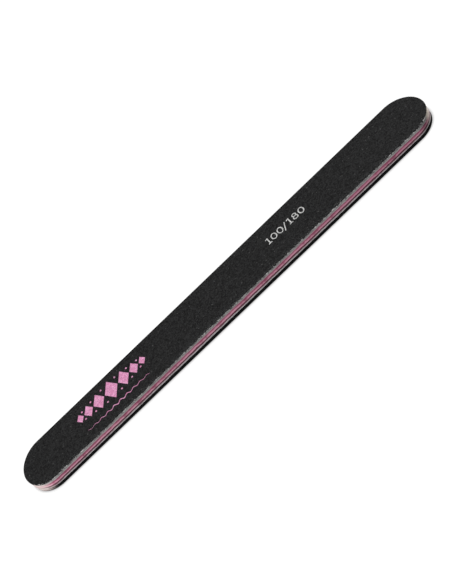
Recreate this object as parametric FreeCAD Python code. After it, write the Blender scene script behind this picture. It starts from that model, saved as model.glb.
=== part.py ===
"""Emery board: a flat nail file glued up from sheets and die-cut to a full-round outline.

A rigid plastic core carries a foam pad on each side, and each pad carries an abrasive
paper. The lower paper is the coarse one, with the heavier backing, and the upper paper is
the fine one. Thin glue films hold the sheets together.

The board lies flat. X runs along it, Y across it and Z up, and the origin is at the middle
of the lower face. All sizes are in millimetres.
"""

import FreeCAD
import Part

import math
import os

# Outline of the whole board
LENGTH = 178.0
WIDTH = 19.0

# Plastic core
CORE_THICKNESS = 1.20
CORE_EASED_CORNER = 0.22

# Foam pads. A die squeezes the foam as it cuts, so the edge springs back dished.
COARSE_FOAM_THICKNESS = 0.72
FINE_FOAM_THICKNESS = 0.58
FOAM_DISH = 0.10

# Glue films. They draw back from the cut, which leaves a fine groove beside the core.
CORE_GLUE_THICKNESS = 0.16
CORE_GLUE_SETBACK = 0.18
PAPER_GLUE_THICKNESS = 0.10
PAPER_GLUE_SETBACK = 0.08

# Coarse abrasive paper, on the lower side
COARSE_BACKING_THICKNESS = 0.92
COARSE_GRIT_THICKNESS = 0.40
COARSE_GRIT_MARGIN = 0.04
COARSE_GRIT_EASED_CORNER = 0.08

# Fine abrasive paper, on the upper side, where the die enters and rolls the edge over
FINE_BACKING_THICKNESS = 0.20
FINE_BACKING_ROLLED_CORNER = 0.12
FINE_GRIT_THICKNESS = 0.16
FINE_GRIT_MARGIN = 0.22
FINE_GRIT_ROLLED_CORNER = 0.09

# The rounded corners of a sheet together take at most this share of its thickness
CORNER_LIMIT_SHARE = 0.9

UP = FreeCAD.Vector(0, 0, 1)
HALF_TURN = 180.0


def section_point(reach, height):
    """A point of the half section, which stands in the plane of Y and Z."""
    return FreeCAD.Vector(0, reach, height)


def straight(start, end):
    """A straight edge between two points."""
    return Part.LineSegment(start, end).toShape()


def arc(start, middle, end):
    """A circular edge through three points."""
    return Part.Arc(start, middle, end).toShape()


def corner_radius(wanted, thickness, corners):
    """The wanted radius, or the largest that the sheet has room for at that many corners."""
    return min(wanted, CORNER_LIMIT_SHARE * thickness / corners)


def square_edge(reach, bottom, top):
    """A cut straight down through the sheet."""
    return [straight(section_point(reach, bottom), section_point(reach, top))]


def dished_edge(reach, bottom, top, depth):
    """A hollow cut: the middle of the thickness stands back by the depth."""
    middle = section_point(reach - depth, (bottom + top) / 2)
    return [arc(section_point(reach, bottom), middle, section_point(reach, top))]


def eased_edge(reach, bottom, top, lower_radius, upper_radius):
    """A straight cut with rounded corners. A radius of zero leaves its corner sharp."""
    edges = []
    middle_turn = 1 - math.sqrt(0.5)
    if lower_radius:
        edges.append(
            arc(
                section_point(reach - lower_radius, bottom),
                section_point(reach - middle_turn * lower_radius, bottom + middle_turn * lower_radius),
                section_point(reach, bottom + lower_radius),
            )
        )
    cut_foot = section_point(reach, bottom + lower_radius)
    cut_head = section_point(reach, top - upper_radius)
    edges.append(straight(cut_foot, cut_head))
    if upper_radius:
        edges.append(
            arc(
                section_point(reach, top - upper_radius),
                section_point(reach - middle_turn * upper_radius, top - middle_turn * upper_radius),
                section_point(reach - upper_radius, top),
            )
        )
    return edges


def half_section(edge, bottom, top):
    """The face between the board's middle and one cut edge of a sheet."""
    foot = edge[0].Vertexes[0].Point
    head = edge[-1].Vertexes[-1].Point
    axis_bottom = section_point(0, bottom)
    axis_top = section_point(0, top)
    lower_side = straight(axis_bottom, foot)
    upper_side = straight(head, axis_top)
    middle_line = straight(axis_top, axis_bottom)
    return Part.Face(Part.Wire([lower_side, *edge, upper_side, middle_line]))


def sheet(edge, bottom, top):
    """One sheet of the board: its half section drawn along each side and turned round each end."""
    section = half_section(edge, bottom, top)
    right_end = FreeCAD.Vector((LENGTH - WIDTH) / 2, 0, 0)
    left_end = -right_end
    run = section.translated(left_end).extrude(right_end - left_end)
    round_end = section.translated(right_end).revolve(right_end, UP, -HALF_TURN)
    one_half = run.fuse(round_end)
    other_half = one_half.copy()
    other_half.rotate(FreeCAD.Vector(0, 0, 0), UP, HALF_TURN)
    return one_half.fuse(other_half).removeSplitter().Solids[0]


def coarse_grit_coat(bottom, top):
    """Coarse grains in resin, broken away a little along the cut."""
    radius = corner_radius(COARSE_GRIT_EASED_CORNER, top - bottom, 1)
    return eased_edge(WIDTH / 2 - COARSE_GRIT_MARGIN, bottom, top, radius, 0)


def coarse_backing_paper(bottom, top):
    """Heavy backing paper, cut square."""
    return square_edge(WIDTH / 2, bottom, top)


def paper_glue(bottom, top):
    """Glue film between a backing paper and its foam pad."""
    return square_edge(WIDTH / 2 - PAPER_GLUE_SETBACK, bottom, top)


def foam_pad(bottom, top):
    """Foam pad with the dished edge that die-cutting leaves."""
    return dished_edge(WIDTH / 2, bottom, top, FOAM_DISH)


def core_glue(bottom, top):
    """Glue film between a foam pad and the core."""
    return square_edge(WIDTH / 2 - CORE_GLUE_SETBACK, bottom, top)


def plastic_core(bottom, top):
    """Rigid core, with both corners of its cut edge eased."""
    radius = corner_radius(CORE_EASED_CORNER, top - bottom, 2)
    return eased_edge(WIDTH / 2, bottom, top, radius, radius)


def fine_backing_paper(bottom, top):
    """Light backing paper, with its upper corner rolled over by the die."""
    radius = corner_radius(FINE_BACKING_ROLLED_CORNER, top - bottom, 1)
    return eased_edge(WIDTH / 2, bottom, top, 0, radius)


def fine_grit_coat(bottom, top):
    """Fine grains in resin, stopping short of the cut and rolled over at it."""
    radius = corner_radius(FINE_GRIT_ROLLED_CORNER, top - bottom, 1)
    return eased_edge(WIDTH / 2 - FINE_GRIT_MARGIN, bottom, top, 0, radius)


# The sheets from the lower face upwards: name, thickness and the form of the cut edge
STACK = [
    ("coarse_grit_coat", COARSE_GRIT_THICKNESS, coarse_grit_coat),
    ("coarse_backing_paper", COARSE_BACKING_THICKNESS, coarse_backing_paper),
    ("coarse_paper_glue", PAPER_GLUE_THICKNESS, paper_glue),
    ("coarse_foam_pad", COARSE_FOAM_THICKNESS, foam_pad),
    ("coarse_core_glue", CORE_GLUE_THICKNESS, core_glue),
    ("plastic_core", CORE_THICKNESS, plastic_core),
    ("fine_core_glue", CORE_GLUE_THICKNESS, core_glue),
    ("fine_foam_pad", FINE_FOAM_THICKNESS, foam_pad),
    ("fine_paper_glue", PAPER_GLUE_THICKNESS, paper_glue),
    ("fine_backing_paper", FINE_BACKING_THICKNESS, fine_backing_paper),
    ("fine_grit_coat", FINE_GRIT_THICKNESS, fine_grit_coat),
]


def main():
    """Stacks the sheets and writes each to its own file."""
    os.makedirs("parts", exist_ok=True)
    bottom = 0.0
    for name, thickness, cut_edge in STACK:
        top = bottom + thickness
        solid = sheet(cut_edge(bottom, top), bottom, top)
        solid.exportStep(f"parts/{name}.step")
        print(f"{name}: {bottom:.2f} to {top:.2f}, {solid.Volume:.2f} mm3, valid {solid.isValid()}")
        bottom = top
    print(f"board thickness: {bottom:.2f}")


main()
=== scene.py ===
"""Looks of the emery board: detailed sheets, torn edges, grit, ink, light and camera.

The board lies flat, with X along it, Y across it and Z up. Everything is in metres, in the
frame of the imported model. Sizes written in millimetres are multiplied by MM.
"""

import logging
import math
import random
from collections.abc import Callable, Iterable, Mapping, Sequence
from dataclasses import dataclass, field
from enum import Enum
from typing import Any

import bmesh
import bpy
from mathutils import Euler, Matrix, Vector, noise
from mathutils.bvhtree import BVHTree


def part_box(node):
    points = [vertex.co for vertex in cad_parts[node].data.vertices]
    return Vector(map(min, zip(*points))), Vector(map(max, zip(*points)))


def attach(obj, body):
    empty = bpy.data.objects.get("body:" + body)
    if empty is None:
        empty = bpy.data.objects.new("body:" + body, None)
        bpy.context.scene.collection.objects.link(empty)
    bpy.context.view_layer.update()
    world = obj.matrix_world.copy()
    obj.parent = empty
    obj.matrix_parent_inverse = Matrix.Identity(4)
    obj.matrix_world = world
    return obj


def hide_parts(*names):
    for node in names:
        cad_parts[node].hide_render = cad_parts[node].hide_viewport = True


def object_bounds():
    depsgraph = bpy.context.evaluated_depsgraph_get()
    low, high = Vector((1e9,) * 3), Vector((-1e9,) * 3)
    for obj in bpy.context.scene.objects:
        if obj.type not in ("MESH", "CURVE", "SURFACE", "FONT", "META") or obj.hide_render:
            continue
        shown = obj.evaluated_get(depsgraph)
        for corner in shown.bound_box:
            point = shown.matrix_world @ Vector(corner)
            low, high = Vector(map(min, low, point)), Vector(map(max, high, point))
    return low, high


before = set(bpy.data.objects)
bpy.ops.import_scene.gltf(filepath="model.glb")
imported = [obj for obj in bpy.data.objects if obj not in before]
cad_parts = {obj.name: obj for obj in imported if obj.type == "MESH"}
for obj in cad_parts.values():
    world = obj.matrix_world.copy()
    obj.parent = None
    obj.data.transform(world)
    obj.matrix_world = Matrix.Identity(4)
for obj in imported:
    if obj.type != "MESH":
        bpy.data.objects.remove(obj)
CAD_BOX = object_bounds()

LOG = logging.getLogger("emery_board")

MM = 0.001
HALF_LENGTH_MM = CAD_BOX[1][0] / MM
BODY = "root"

Span = tuple[float, float]
Triple = tuple[float, float, float]
Colour = Triple
Row = Callable[[Vector], Span]


def from_screen(red: int, green: int, blue: int) -> Colour:
    """Turns a screen colour into the linear colour that shaders take.

    Args:
        red: Red from 0 to 255.
        green: Green from 0 to 255.
        blue: Blue from 0 to 255.

    Returns:
        The linear colour, each part from 0 to 1.
    """

    def linear(part: int) -> float:
        """One part of the colour."""
        share = part / 255
        return share / 12.92 if share <= 0.04045 else ((share + 0.055) / 1.055) ** 2.4

    return linear(red), linear(green), linear(blue)


def ripple(place: Vector, per_mm: float, seed: float) -> float:
    """Smooth noise at a point.

    Args:
        place: The point, in metres.
        per_mm: Waves per millimetre.
        seed: Shifts the pattern, so that two uses differ.

    Returns:
        A value from about -1 to 1.
    """
    return noise.noise(place * (per_mm / MM) + Vector((seed, 2.3 * seed, -1.7 * seed)))


class Facing(Enum):
    """Which way a working face of the board looks."""

    UP = 1
    DOWN = -1


class Signal:
    """One output of a shader node, with arithmetic that adds Math nodes."""

    def __init__(self, graph: "Graph", socket: bpy.types.NodeSocket) -> None:
        """Keeps the socket and the graph that it is in."""
        self.graph = graph
        self.socket = socket

    def _maths(self, operation: str, *values: "Signal | float") -> "Signal":
        """Adds one Math node over the given values."""
        return self.graph.node("ShaderNodeMath", {"operation": operation}, dict(enumerate(values)))

    def __add__(self, other: "Signal | float") -> "Signal":
        """Sum."""
        return self._maths("ADD", self, other)

    __radd__ = __add__

    def __sub__(self, other: "Signal | float") -> "Signal":
        """Difference."""
        return self._maths("SUBTRACT", self, other)

    def __rsub__(self, other: "Signal | float") -> "Signal":
        """Difference from a plain number."""
        return self._maths("SUBTRACT", other, self)

    def __mul__(self, other: "Signal | float") -> "Signal":
        """Product."""
        return self._maths("MULTIPLY", self, other)

    __rmul__ = __mul__

    def __truediv__(self, other: "Signal | float") -> "Signal":
        """Quotient."""
        return self._maths("DIVIDE", self, other)

    def at_most(self, other: "Signal | float") -> "Signal":
        """The smaller of two values."""
        return self._maths("MINIMUM", self, other)

    def rise(self, low: float, high: float) -> "Signal":
        """Eases from 0 at one value to 1 at another.

        Args:
            low: The value that gives 0. It may be the larger one.
            high: The value that gives 1.

        Returns:
            The eased value, held between 0 and 1.
        """
        settings = {"interpolation_type": "SMOOTHSTEP"}
        sockets = {"Value": self, "From Min": low, "From Max": high}
        return self.graph.node("ShaderNodeMapRange", settings, sockets)


class Graph:
    """The nodes of one material or world."""

    def __init__(self, tree: bpy.types.NodeTree) -> None:
        """Starts from an empty tree."""
        self.tree = tree
        self.tree.nodes.clear()

    @classmethod
    def of_material(cls, name: str) -> "tuple[Graph, bpy.types.Material]":
        """Makes a material.

        Args:
            name: Name of the material.

        Returns:
            Its empty graph and the material.
        """
        material = bpy.data.materials.new(name)
        material.use_nodes = True
        return cls(material.node_tree), material

    def node(
        self,
        kind: str,
        settings: Mapping[str, Any] | None = None,
        sockets: Mapping[str | int, Any] | None = None,
        output: str | int = 0,
    ) -> Signal:
        """Adds any node.

        Args:
            kind: The node's type.
            settings: Its properties, set before its sockets.
            sockets: Values or signals for its input sockets, by name or number.
            output: The output that is handed back.

        Returns:
            That output as a signal.
        """
        made = self.tree.nodes.new(kind)
        for name, value in (settings or {}).items():
            setattr(made, name, value)
        for key, value in (sockets or {}).items():
            if isinstance(value, Signal):
                self.tree.links.new(value.socket, made.inputs[key])
            else:
                made.inputs[key].default_value = value
        return Signal(self, made.outputs[output] if made.outputs else None)

    def place(self, stretch: Triple = (1.0, 1.0, 1.0)) -> Signal:
        """The piece's own coordinates in millimetres.

        Args:
            stretch: Factors along X, Y and Z. A small one draws a pattern out that way.

        Returns:
            The coordinates as a vector.
        """
        here = self.node("ShaderNodeTexCoord", output="Object")
        scale = tuple(part / MM for part in stretch)
        return self.node("ShaderNodeVectorMath", {"operation": "MULTIPLY"}, {0: here, 1: scale})

    def along(self, axis: str) -> Signal:
        """One of the piece's own coordinates, X, Y or Z, in millimetres."""
        return self.node("ShaderNodeSeparateXYZ", sockets={0: self.place()}, output=axis)

    def towards_ends(self) -> Signal:
        """0 at the middle of the board, growing as a square to 1 at the ends."""
        share = self.along("X") / HALF_LENGTH_MM
        return share * share

    def clouds(self, where: Signal, per_mm: float, detail: float = 2.0) -> Signal:
        """Soft noise from 0 to 1, with so many clouds to a millimetre."""
        sockets = {"Vector": where, "Scale": per_mm, "Detail": detail, "Roughness": 0.6}
        return self.node("ShaderNodeTexNoise", sockets=sockets)

    def cells(self, where: Signal, size_mm: float) -> tuple[Signal, Signal, Signal]:
        """Irregular cells, as of grains or foam.

        Args:
            where: The coordinates.
            size_mm: Size of a cell.

        Returns:
            The distance from the cell's middle, and two values that are random for each cell.
        """
        sockets = {"Vector": where, "Scale": 1 / size_mm}
        distance = self.node("ShaderNodeTexVoronoi", sockets=sockets, output="Distance")
        colour = Signal(self, distance.socket.node.outputs["Color"])
        first = self.node("ShaderNodeSeparateColor", sockets={0: colour}, output=0)
        second = Signal(self, first.socket.node.outputs[1])
        return distance, first, second

    def blend(self, factor: Signal | float, start: Signal | Colour, end: Signal | Colour) -> Signal:
        """Mixes two colours.

        Args:
            factor: 0 gives the first colour and 1 the second.
            start: The first colour.
            end: The second colour.

        Returns:
            The mixed colour.
        """

        def full(colour: Signal | Colour) -> Any:
            """A colour as the socket takes it."""
            return colour if isinstance(colour, Signal) else (*colour, 1.0)

        settings = {"data_type": "RGBA"}
        return self.node("ShaderNodeMix", settings, {0: factor, 6: full(start), 7: full(end)}, 2)

    def bump(self, height: Signal, depth_mm: float, strength: float) -> Signal:
        """A normal from a height of 0 to 1 that stands for so many millimetres."""
        sockets = {"Height": height, "Distance": depth_mm * MM, "Strength": strength}
        return self.node("ShaderNodeBump", sockets=sockets)

    def surface(self, sockets: Mapping[str, Any]) -> None:
        """Ends the graph in a Principled shader with these sockets."""
        shader = self.node("ShaderNodeBsdfPrincipled", sockets=sockets)
        self.node("ShaderNodeOutputMaterial", sockets={"Surface": shader})


@dataclass(frozen=True)
class TipDustAndGlare:
    """Pale dust and painted glare on the cut edge at the two tips.

    Attributes:
        left: How far the left tip is covered, from 0 to 1.
        right: How far the right tip is covered, from 0 to 1.
        left_dust_and_glare: Pale colour on the left tip: dust, with painted glare from the low left lamp.
        right_dust_and_glare: Pale colour on the near side of the right tip: dust, with painted glare.
        end_white: Colour at the very end of the right tip, painted glare that is palest there.
        left_along_mm: Places along the board where the left paling starts and where it is full.
        left_across_mm: The same across the board.
        right_along_mm: Places along the board where the right paling starts and where it is full.
        right_across_mm: The same across the board.
        end_white_across_mm: Places across the board where the white at the end starts and where it is full.
        ragged_mm: How far the borders of the paling wander along and across the board.
    """

    left: float = 0.0
    right: float = 0.0
    left_dust_and_glare: Colour = from_screen(190, 175, 172)
    right_dust_and_glare: Colour = from_screen(192, 183, 172)
    end_white: Colour = from_screen(243, 241, 236)
    left_along_mm: Span = (-81.5, -87.0)
    left_across_mm: Span = (1.0, -3.4)
    right_along_mm: Span = (83.6, 86.0)
    right_across_mm: Span = (6.0, 1.5)
    end_white_across_mm: Span = (-5.8, -2.7)
    ragged_mm: Span = (3.0, 5.0)

    def over(self, graph: Graph, colour: Signal) -> Signal:
        """Lays the pale dust and painted glare over a colour.

        Args:
            graph: The material's graph.
            colour: The clean colour.

        Returns:
            The dusted colour.
        """
        patchy = graph.clouds(graph.place(), 1.3, 4.0) - 0.5
        along = graph.along("X") + patchy * self.ragged_mm[0]
        across = graph.along("Y") + patchy * self.ragged_mm[1]
        # Painted glare, with dust: the tips pale where the low side lamps strike them, and the very end of
        # the right tip goes white.
        left = along.rise(*self.left_along_mm) * across.rise(*self.left_across_mm) * self.left
        left_paled = graph.blend(left, colour, self.left_dust_and_glare)
        dust = graph.blend(across.rise(*self.end_white_across_mm), self.right_dust_and_glare, self.end_white)
        right = along.rise(*self.right_along_mm) * across.rise(*self.right_across_mm) * self.right
        return graph.blend(right, left_paled, dust)


@dataclass(frozen=True)
class Finish:
    """What a piece is made of.

    Attributes:
        name: Name of the material.
    """

    name: str

    def make(self) -> bpy.types.Material:
        """Makes the material.

        Returns:
            The new material.
        """
        graph, material = Graph.of_material(self.name)
        graph.surface(self.sockets(graph))
        return material

    def sockets(self, graph: Graph) -> dict[str, Any]:
        """Works out the shader's sockets for this finish."""
        raise NotImplementedError


@dataclass(frozen=True)
class GritFinish(Finish):
    """Abrasive grains set in dark resin.

    Attributes:
        grain_mm: Size of a grain.
        resin: Colour of the resin between the grains.
        grain: Colour of most grains.
        glint: Colour of the few bright grains, a painted glint.
        glint_share: Share of grains with the painted glint, from 0 to 1.
        relief_mm: Height of the grains for the bump.
        dust_share: Share of grains that paper dust makes pale along the torn edge, from 0 to 1.
        dust: Colour of that dust.
        dust_across_mm: Places across the board where the dust starts and where it is full.
    """

    grain_mm: float
    resin: Colour
    grain: Colour
    glint: Colour
    glint_share: float
    relief_mm: float
    dust_share: float = 0.0
    dust: Colour = (0.2, 0.2, 0.2)
    dust_across_mm: Span = (-6.8, -9.4)

    def sockets(self, graph: Graph) -> dict[str, Any]:
        """Works out the shader's sockets for this finish.

        Args:
            graph: The material's graph.

        Returns:
            Values and signals by the sockets' names.
        """
        where = graph.place()
        distance, tone, _ = graph.cells(where, self.grain_mm)
        _, clump, rare = graph.cells(where, 3.2 * self.grain_mm)
        patches = graph.clouds(where, 0.55, 3.0)
        mix = (tone * 0.45 + clump * 0.6 + patches * 0.4 - 0.22).rise(0.0, 1.0)
        colour = graph.blend(mix, self.resin, self.grain)
        # Painted glints: a few grains get a bright colour.
        bright = rare.rise(1 - self.glint_share, 1 - 0.6 * self.glint_share) * tone.rise(0.2, 0.6)
        colour = graph.blend(bright, colour, self.glint)
        if self.dust_share:
            torn_edge = graph.along("Y").rise(*self.dust_across_mm)
            dusty = (tone + torn_edge * self.dust_share).rise(1.0, 1.08) * torn_edge.rise(0.0, 0.1)
            colour = graph.blend(dusty, colour, self.dust)
        roughness = 0.9 - tone * 0.3 - bright * 0.2
        height = 1 - distance * 1.1 + graph.clouds(where, 2.4 / self.grain_mm, 1.0) * 0.35
        return {
            "Base Color": colour,
            "Roughness": roughness,
            "Specular IOR Level": 0.05,
            "Normal": graph.bump(height, self.relief_mm, 0.8),
        }


@dataclass(frozen=True)
class PaperFinish(Finish):
    """Cut or torn paper, with fibres that lie flat in the sheet.

    Attributes:
        pulp: Main colour.
        shade: Colour in the hollows between fibres.
        fibre: Colour of the fibres that stand out.
        fibre_share: Share of fibres that stand out, from 0 to 1.
        skin: Colour of the dyed paper where the edge isn't torn. None if it is torn all round.
        dust_and_glare: Pale dust and painted glare on the tips.
        skin_across_mm: Places across the board where the skin starts and where it is full.
        left_tip_mm: Places along the board where the left tip starts and where it is reached.
        right_tip_mm: The same for the right tip.
        tip_shift_mm: How much sooner the skin starts at the left and at the right tip.
    """

    pulp: Colour
    shade: Colour
    fibre: Colour
    fibre_share: float
    skin: Colour | None = None
    dust_and_glare: TipDustAndGlare = TipDustAndGlare()
    skin_across_mm: Span = (-7.6, -6.2)
    left_tip_mm: Span = (-79.0, -85.0)
    right_tip_mm: Span = (79.0, 84.0)
    tip_shift_mm: Span = (2.0, 0.8)

    def sockets(self, graph: Graph) -> dict[str, Any]:
        """Works out the shader's sockets for this finish.

        Args:
            graph: The material's graph.

        Returns:
            Values and signals by the sockets' names.
        """
        strands = graph.clouds(graph.place((1.0, 1.0, 5.0)), 2.6, 4.0)
        tufts = graph.clouds(graph.place(), 1.15, 2.0)
        _, pick, _ = graph.cells(graph.place((1.0, 1.0, 1.6)), 0.42)
        hollow = (strands * 0.45 + tufts * 0.55).rise(0.38, 0.58)
        colour = graph.blend(hollow, self.shade, self.pulp)
        stands_out = pick.rise(1 - self.fibre_share, 1 - 0.5 * self.fibre_share)
        stands_out = stands_out * strands.rise(0.3, 0.55)
        colour = graph.blend(stands_out, colour, self.fibre)
        if self.skin:
            left_tip = graph.along("X").rise(*self.left_tip_mm) * self.tip_shift_mm[0]
            right_tip = graph.along("X").rise(*self.right_tip_mm) * self.tip_shift_mm[1]
            across = graph.along("Y") + (tufts - 0.5) * 1.6 + (left_tip + right_tip)
            colour = graph.blend(across.rise(*self.skin_across_mm), colour, self.skin)
        height = strands * 0.7 + stands_out * 0.5
        return {
            "Base Color": self.dust_and_glare.over(graph, colour),
            "Roughness": 0.97 - stands_out * 0.12,
            "Specular IOR Level": 0.03,
            "Normal": graph.bump(height, 0.06, 0.7),
        }


@dataclass(frozen=True)
class StainAndShade:
    """A darker band on a cut edge, from its upper or lower side: glue soaked in, with painted shade where
    the sheet beside it shades the edge.

    Attributes:
        colour: Colour of the band.
        start_mm: Height where it starts.
        full_mm: Height where it is full.
        wander_mm: How far its border wanders up and down.
        ends_mm: How much lower its border lies at the ends of the board.
    """

    colour: Colour
    start_mm: float
    full_mm: float
    wander_mm: float
    ends_mm: float = 0.25

    def over(self, graph: Graph, colour: Signal) -> Signal:
        """Lays the band over a colour.

        Args:
            graph: The material's graph.
            colour: The clean colour.

        Returns:
            The colour with the band laid over it.
        """
        wander = (graph.clouds(graph.place(), 0.3, 4.0) - 0.5) * self.wander_mm
        border = graph.along("Z") + wander + graph.towards_ends() * self.ends_mm
        return graph.blend(border.rise(self.start_mm, self.full_mm) * 0.9, colour, self.colour)


@dataclass(frozen=True)
class FoamFinish(Finish):
    """Fine closed-cell foam, cut through its cells.

    Attributes:
        wall: Colour of the cell walls.
        pit: Colour inside the cut cells, darker as painted shade.
        cell_mm: Size of a cell.
        stains_and_shade: Bands of glue soaked in from beside it, with painted shade where the sheets beside
            it shade it.
        dust_and_glare: Pale dust and painted glare on the tips.
    """

    wall: Colour
    pit: Colour
    cell_mm: float
    stains_and_shade: tuple[StainAndShade, ...] = ()
    dust_and_glare: TipDustAndGlare = TipDustAndGlare()

    def sockets(self, graph: Graph) -> dict[str, Any]:
        """Works out the shader's sockets for this finish.

        Args:
            graph: The material's graph.

        Returns:
            Values and signals by the sockets' names.
        """
        where = graph.place()
        distance, pick, _ = graph.cells(where, self.cell_mm)
        patches = graph.clouds(where, 0.9, 3.0)
        torn = graph.clouds(graph.place((1.0, 1.0, 0.5)), 0.45, 3.0)
        open_cell = (1 - distance * 1.3) * pick.rise(0.25, 0.7) + (patches - 0.5) * 0.5 + (torn - 0.5) * 1.1
        # Painted shade: the open cells take the darker pit colour.
        colour = graph.blend(open_cell.rise(0.25, 0.75), self.wall, self.pit)
        for stain_and_shade in self.stains_and_shade:
            colour = stain_and_shade.over(graph, colour)
        return {
            "Base Color": self.dust_and_glare.over(graph, colour),
            "Roughness": 0.93 - patches * 0.1,
            "Specular IOR Level": 0.08,
            "Normal": graph.bump(1 - open_cell.rise(0.1, 0.9), 0.05, 0.8),
        }


@dataclass(frozen=True)
class CoreFinish(Finish):
    """Pink plastic sheared by a die: deep pink where the die entered, pale below.

    The deep upper part is partly burnish and partly painted shade under the overhanging lip, and the
    streaks along the top and bottom of the cut are painted shade in the glue grooves. The deep part reaches
    lower towards the ends, and the right half is darker as painted shade, where less light falls.

    Attributes:
        pale: Colour of the torn lower part of the cut.
        deep: Colour of the upper part, burnished and in painted shade under the lip, and of the lower
            corner.
        streak: Colour of the deeper streaks, and of the painted shade in the glue grooves at the top and
            bottom of the cut.
        low_mm: Height of the core's underside.
        high_mm: Height of the core's upper side.
        dust_and_glare: Pale dust and painted glare on the tips.
        right_shade_mm: Places along the board where the painted shade of the right half starts and where it
            is full.
        right_shade_share: How far the pale part darkens there, from 0 to 1.
        ends_share: How much further down the deep part reaches at the ends, as a share of the thickness.
    """

    pale: Colour
    deep: Colour
    streak: Colour
    low_mm: float
    high_mm: float
    dust_and_glare: TipDustAndGlare = TipDustAndGlare()
    right_shade_mm: Span = (-15.0, 70.0)
    right_shade_share: float = 0.35
    ends_share: float = 0.2

    def sockets(self, graph: Graph) -> dict[str, Any]:
        """Works out the shader's sockets for this finish.

        Args:
            graph: The material's graph.

        Returns:
            Values and signals by the sockets' names.
        """
        shear = graph.clouds(graph.place((1.0, 1.0, 0.12)), 1.9, 4.0)
        blotch = graph.clouds(graph.place((1.0, 1.0, 0.6)), 0.6, 2.0)
        patches = graph.clouds(graph.place((1.0, 1.0, 0.4)), 0.13, 3.0)
        share = (graph.along("Z") - self.low_mm) / (self.high_mm - self.low_mm)
        level = share + (shear - 0.5) * 0.4 + (blotch - 0.5) * 0.4 + (patches - 0.5) * 0.7
        level = level + graph.towards_ends() * self.ends_share
        # Painted shade: the pale part darkens towards the right end, where less light falls.
        right_shade = graph.along("X").rise(*self.right_shade_mm) * self.right_shade_share
        # The deep upper part is burnish and painted shade under the lip; the streaks along the top and
        # bottom are painted shade in the glue grooves.
        colour = graph.blend(level.rise(0.56, 0.8), graph.blend(right_shade, self.pale, self.deep), self.deep)
        colour = graph.blend(level.rise(0.84, 1.02) * 0.75, colour, self.streak)
        colour = graph.blend(level.rise(0.32, 0.1), colour, self.streak)
        colour = graph.blend((blotch * 0.6 + patches * 0.4).rise(0.5, 0.64) * 0.6, colour, self.streak)
        return {
            "Base Color": self.dust_and_glare.over(graph, colour),
            "Roughness": 0.62 - shear * 0.2,
            "Specular IOR Level": 0.12,
            "Normal": graph.bump(shear, 0.02, 0.5),
        }


@dataclass(frozen=True)
class GlueFinish(Finish):
    """Glue film, seen as a line at the cut.

    Attributes:
        thick: Colour where the film is thick.
        thin: Colour where the film is thin.
        dust_and_glare: Pale dust and painted glare on the tips.
    """

    thick: Colour
    thin: Colour
    dust_and_glare: TipDustAndGlare = TipDustAndGlare()

    def sockets(self, graph: Graph) -> dict[str, Any]:
        """Works out the shader's sockets for this finish.

        Args:
            graph: The material's graph.

        Returns:
            Values and signals by the sockets' names.
        """
        flow = graph.clouds(graph.place(), 0.8, 3.0)
        colour = graph.blend(flow.rise(0.4, 0.65), self.thick, self.thin)
        return {
            "Base Color": self.dust_and_glare.over(graph, colour),
            "Roughness": 0.6 - flow * 0.25,
            "Specular IOR Level": 0.1,
            "Normal": graph.bump(flow, 0.02, 0.4),
        }


@dataclass(frozen=True)
class InkFinish(Finish):
    """Screen-printed ink, broken up where the grains poke through.

    Attributes:
        ink: Colour of the ink.
        thin_ink: Colour where the ink is thin.
        grit: Colour of the grains that show through.
        grain_mm: Size of a grain.
        worn: How much of the grit shows, from 0 to 1.
    """

    ink: Colour
    thin_ink: Colour
    grit: Colour
    grain_mm: float
    worn: float

    def sockets(self, graph: Graph) -> dict[str, Any]:
        """Works out the shader's sockets for this finish.

        Args:
            graph: The material's graph.

        Returns:
            Values and signals by the sockets' names.
        """
        where = graph.place()
        distance, pick, _ = graph.cells(where, self.grain_mm)
        pull = graph.clouds(where, 0.8, 3.0)
        colour = graph.blend(pull.rise(0.38, 0.66), self.thin_ink, self.ink)
        bare = (pick + (pull - 0.5) * 0.4).rise(1 - self.worn, 1 - 0.5 * self.worn)
        colour = graph.blend(bare * 0.85, colour, self.grit)
        return {
            "Base Color": colour,
            "Roughness": 0.62 + bare * 0.25,
            "Specular IOR Level": 0.1,
            "Normal": graph.bump(1 - distance, 0.025, 0.6),
        }


@dataclass(frozen=True)
class FloorFinish(Finish):
    """White table top that keeps the board's shadow.

    Attributes:
        paper: Colour of the table top.
        glow: Colour of the light added for the camera and reflections, which makes the floor white.
        far_mm: Distances from the board where that light starts to grow and where it is full white.
        contact_shadow_mm: How far the painted contact shadow reaches out of the corner under the board's
            edge.
    """

    paper: Colour
    glow: Colour
    far_mm: Span = (250.0, 900.0)
    contact_shadow_mm: float = 0.95

    def make(self) -> bpy.types.Material:
        """Makes the material, which glows only where it is seen.

        Returns:
            The new material.
        """
        graph, material = Graph.of_material(self.name)
        plain = graph.node("ShaderNodeBsdfDiffuse", sockets={"Color": (*self.paper, 1.0)})
        away = graph.node("ShaderNodeVectorMath", {"operation": "LENGTH"}, {0: graph.place()}, "Value")
        glow = graph.blend(away.rise(*self.far_mm), self.glow, (1.0, 1.0, 1.0))
        # Ambient occlusion darkens the glow near the board: a painted contact shadow.
        corner = {"Color": glow, "Distance": self.contact_shadow_mm * MM}
        glow = graph.node("ShaderNodeAmbientOcclusion", sockets=corner)
        light = graph.node("ShaderNodeEmission", sockets={"Color": glow})
        lit = graph.node("ShaderNodeAddShader", sockets={0: plain, 1: light})
        shader = graph.node("ShaderNodeMixShader", sockets={0: seen_ray(graph), 1: plain, 2: lit})
        graph.node("ShaderNodeOutputMaterial", sockets={"Surface": shader})
        return material


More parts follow.
